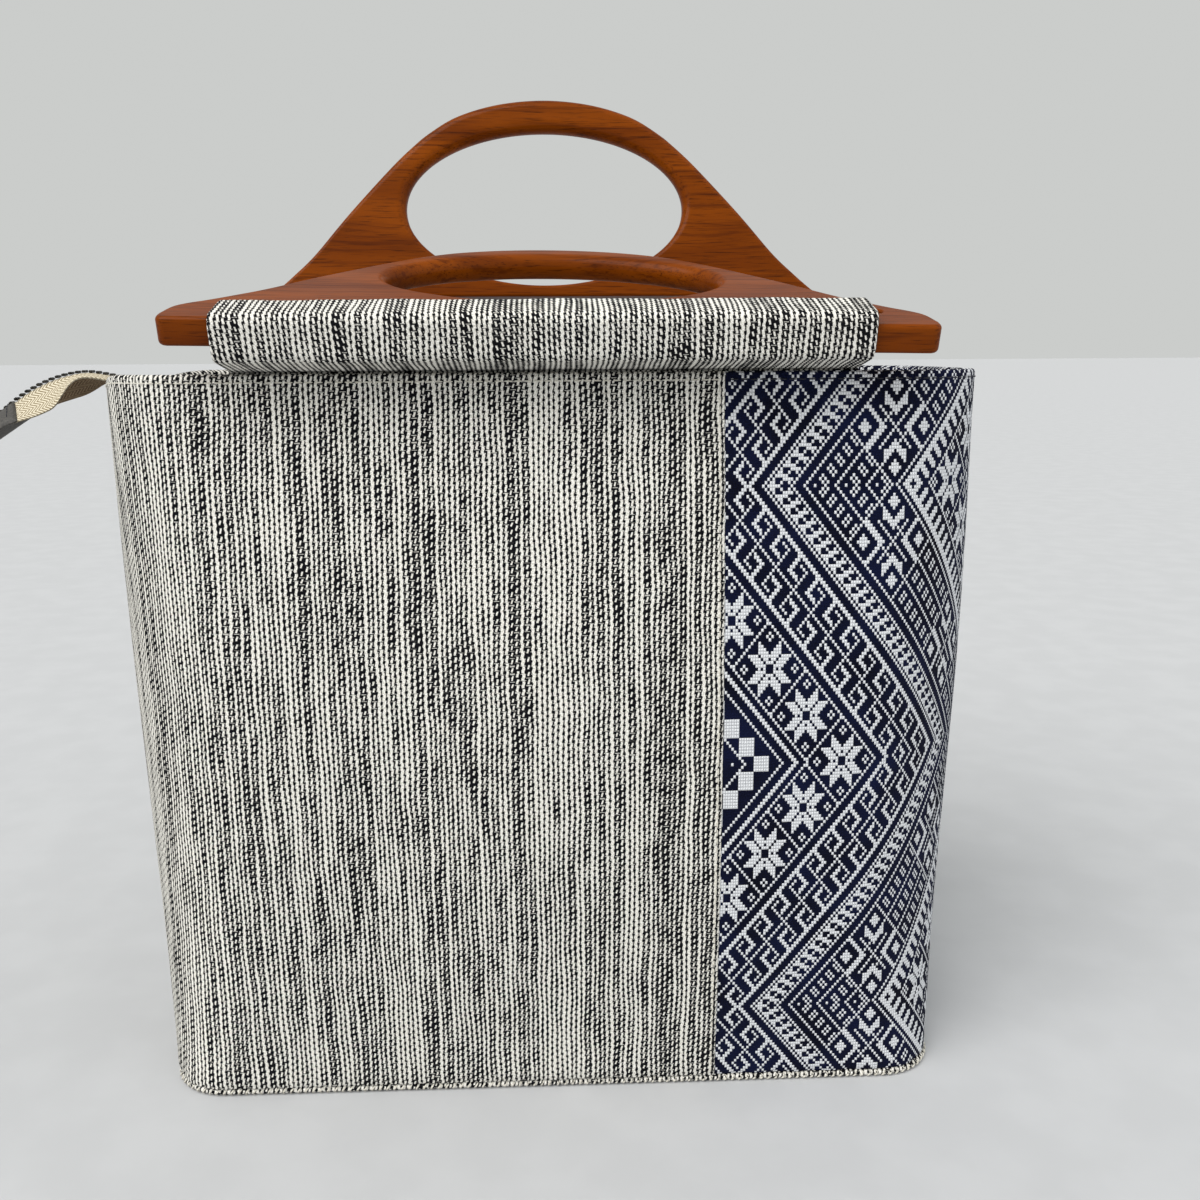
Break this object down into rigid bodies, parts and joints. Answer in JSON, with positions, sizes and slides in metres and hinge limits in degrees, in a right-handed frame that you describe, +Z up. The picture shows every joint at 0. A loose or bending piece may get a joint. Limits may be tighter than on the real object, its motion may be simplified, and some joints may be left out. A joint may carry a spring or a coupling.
{
  "type": "fabric handbag with wooden handles",
  "caption": "Upright soft fabric handbag in two cloths, with a pair of wooden board handles held in cloth sleeves and a zipped mouth",
  "frame": {"origin": "on the ground under the middle of the bag", "axes": "+X to the right seen from the front, -Y out of the front, +Z up"},
  "size_m": [0.3656, 0.1564, 0.3553],
  "materials": {
    "weave": "coarse slub plain weave of near-black and warm white threads",
    "pattern": "navy cloth with a white counted-thread folk pattern",
    "wood": "reddish brown stain under satin varnish",
    "tape": "cream herringbone zip tape",
    "zip_metal": "dark oxidised metal",
    "tab": "dark grey grained tab, bare"
  },
  "bodies": {
    "root": {"weave_panel": "weave", "pattern_panel": "pattern", "base_panel": "weave", "front_sleeve": "weave", "rear_sleeve": "weave", "top_panel_front": "weave", "top_panel_rear": "weave", "front_handle": "wood", "rear_handle": "wood", "zip_tape_front": "tape", "zip_tape_rear": "tape", "zip_chain": "zip_metal", "zip_slider": "zip_metal", "zip_tab": "tab"}
  },
  "joints": []
}
